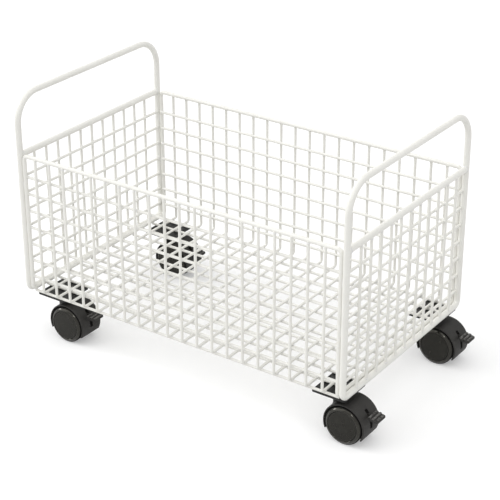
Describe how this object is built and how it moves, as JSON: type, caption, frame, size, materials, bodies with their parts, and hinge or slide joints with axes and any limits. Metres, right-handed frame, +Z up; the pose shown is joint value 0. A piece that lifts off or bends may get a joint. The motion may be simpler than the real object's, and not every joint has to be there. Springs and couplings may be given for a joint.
{
  "type": "rolling book cart",
  "caption": "Open-topped welded wire basket cart with a raised handle hoop at each end, carried on swivelling twin-wheel casters that each have a brake pedal.",
  "frame": {"origin": "on the floor under the middle of the cart's whole box", "axes": "+Z up, +X along the basket's length, the way that the casters trail and their pedals point, -Y to the front long side"},
  "size_m": [0.5806, 0.32, 0.3745],
  "materials": {
    "white_coat": "satin",
    "black_plastic": "satin",
    "wheel_plastic": "satin",
    "black_plate": "satin",
    "pin_steel": "bright"
  },
  "bodies": {
    "basket": {"front_upright_wires": "white_coat", "back_upright_wires": "white_coat", "front_row_wires": "white_coat", "back_row_wires": "white_coat", "floor_cross_wires": "white_coat", "floor_long_wires": "white_coat", "left_end_base_wire": "white_coat", "right_end_base_wire": "white_coat", "left_end_upright_wires": "white_coat", "right_end_upright_wires": "white_coat", "left_end_row_wires": "white_coat", "right_end_row_wires": "white_coat", "front_side_frame": "white_coat", "back_side_frame": "white_coat", "left_end_hoop": "white_coat", "right_end_hoop": "white_coat", "left_end_crossbar": "white_coat", "right_end_crossbar": "white_coat", "front_left_caster_plate": "black_plate", "front_left_caster_swivel_bush": "black_plastic", "front_left_caster_kingpin": "black_plate", "front_right_caster_plate": "black_plate", "front_right_caster_swivel_bush": "black_plastic", "front_right_caster_kingpin": "black_plate", "back_left_caster_plate": "black_plate", "back_left_caster_swivel_bush": "black_plastic", "back_left_caster_kingpin": "black_plate", "back_right_caster_plate": "black_plate", "back_right_caster_swivel_bush": "black_plastic", "back_right_caster_kingpin": "black_plate"},
    "front_left_caster_hood": {"front_left_caster_hood": "black_plastic", "front_left_caster_axle": "pin_steel", "front_left_caster_pedal_pin": "pin_steel"},
    "front_left_caster_front_wheel": {"front_left_caster_front_wheel": "wheel_plastic"},
    "front_left_caster_back_wheel": {"front_left_caster_back_wheel": "wheel_plastic"},
    "front_left_caster_brake_pedal": {"front_left_caster_brake_pedal": "black_plastic", "front_left_caster_brake_bar": "pin_steel"},
    "front_right_caster_hood": {"front_right_caster_hood": "black_plastic", "front_right_caster_axle": "pin_steel", "front_right_caster_pedal_pin": "pin_steel"},
    "front_right_caster_front_wheel": {"front_right_caster_front_wheel": "wheel_plastic"},
    "front_right_caster_back_wheel": {"front_right_caster_back_wheel": "wheel_plastic"},
    "front_right_caster_brake_pedal": {"front_right_caster_brake_pedal": "black_plastic", "front_right_caster_brake_bar": "pin_steel"},
    "back_left_caster_hood": {"back_left_caster_hood": "black_plastic", "back_left_caster_axle": "pin_steel", "back_left_caster_pedal_pin": "pin_steel"},
    "back_left_caster_front_wheel": {"back_left_caster_front_wheel": "wheel_plastic"},
    "back_left_caster_back_wheel": {"back_left_caster_back_wheel": "wheel_plastic"},
    "back_left_caster_brake_pedal": {"back_left_caster_brake_pedal": "black_plastic", "back_left_caster_brake_bar": "pin_steel"},
    "back_right_caster_hood": {"back_right_caster_hood": "black_plastic", "back_right_caster_axle": "pin_steel", "back_right_caster_pedal_pin": "pin_steel"},
    "back_right_caster_front_wheel": {"back_right_caster_front_wheel": "wheel_plastic"},
    "back_right_caster_back_wheel": {"back_right_caster_back_wheel": "wheel_plastic"},
    "back_right_caster_brake_pedal": {"back_right_caster_brake_pedal": "black_plastic", "back_right_caster_brake_bar": "pin_steel"}
  },
  "joints": [
    {"name": "front_left_caster_swivel", "type": "hinge", "parent": "basket", "child": "front_left_caster_hood", "pos_m": [-0.24775, -0.12525, 0.07], "axis": [0, 0, 1], "continuous": true},
    {"name": "front_left_caster_front_wheel_spin", "type": "hinge", "parent": "front_left_caster_hood", "child": "front_left_caster_front_wheel", "pos_m": [-0.22775, -0.12525, 0.0275], "axis": [0, 1, 0], "continuous": true},
    {"name": "front_left_caster_back_wheel_spin", "type": "hinge", "parent": "front_left_caster_hood", "child": "front_left_caster_back_wheel", "pos_m": [-0.22775, -0.12525, 0.0275], "axis": [0, 1, 0], "continuous": true},
    {"name": "front_left_caster_brake_pedal_press", "type": "hinge", "parent": "front_left_caster_hood", "child": "front_left_caster_brake_pedal", "pos_m": [-0.21684, -0.12525, 0.0392], "axis": [0, 1, 0], "range_deg": [0, 12]},
    {"name": "front_right_caster_swivel", "type": "hinge", "parent": "basket", "child": "front_right_caster_hood", "pos_m": [0.22425, -0.12525, 0.07], "axis": [0, 0, 1], "continuous": true},
    {"name": "front_right_caster_front_wheel_spin", "type": "hinge", "parent": "front_right_caster_hood", "child": "front_right_caster_front_wheel", "pos_m": [0.24425, -0.12525, 0.0275], "axis": [0, 1, 0], "continuous": true},
    {"name": "front_right_caster_back_wheel_spin", "type": "hinge", "parent": "front_right_caster_hood", "child": "front_right_caster_back_wheel", "pos_m": [0.24425, -0.12525, 0.0275], "axis": [0, 1, 0], "continuous": true},
    {"name": "front_right_caster_brake_pedal_press", "type": "hinge", "parent": "front_right_caster_hood", "child": "front_right_caster_brake_pedal", "pos_m": [0.25516, -0.12525, 0.0392], "axis": [0, 1, 0], "range_deg": [0, 12]},
    {"name": "back_left_caster_swivel", "type": "hinge", "parent": "basket", "child": "back_left_caster_hood", "pos_m": [-0.24775, 0.12525, 0.07], "axis": [0, 0, 1], "continuous": true},
    {"name": "back_left_caster_front_wheel_spin", "type": "hinge", "parent": "back_left_caster_hood", "child": "back_left_caster_front_wheel", "pos_m": [-0.22775, 0.12525, 0.0275], "axis": [0, 1, 0], "continuous": true},
    {"name": "back_left_caster_back_wheel_spin", "type": "hinge", "parent": "back_left_caster_hood", "child": "back_left_caster_back_wheel", "pos_m": [-0.22775, 0.12525, 0.0275], "axis": [0, 1, 0], "continuous": true},
    {"name": "back_left_caster_brake_pedal_press", "type": "hinge", "parent": "back_left_caster_hood", "child": "back_left_caster_brake_pedal", "pos_m": [-0.21684, 0.12525, 0.0392], "axis": [0, 1, 0], "range_deg": [0, 12]},
    {"name": "back_right_caster_swivel", "type": "hinge", "parent": "basket", "child": "back_right_caster_hood", "pos_m": [0.22425, 0.12525, 0.07], "axis": [0, 0, 1], "continuous": true},
    {"name": "back_right_caster_front_wheel_spin", "type": "hinge", "parent": "back_right_caster_hood", "child": "back_right_caster_front_wheel", "pos_m": [0.24425, 0.12525, 0.0275], "axis": [0, 1, 0], "continuous": true},
    {"name": "back_right_caster_back_wheel_spin", "type": "hinge", "parent": "back_right_caster_hood", "child": "back_right_caster_back_wheel", "pos_m": [0.24425, 0.12525, 0.0275], "axis": [0, 1, 0], "continuous": true},
    {"name": "back_right_caster_brake_pedal_press", "type": "hinge", "parent": "back_right_caster_hood", "child": "back_right_caster_brake_pedal", "pos_m": [0.25516, 0.12525, 0.0392], "axis": [0, 1, 0], "range_deg": [0, 12]}
  ]
}
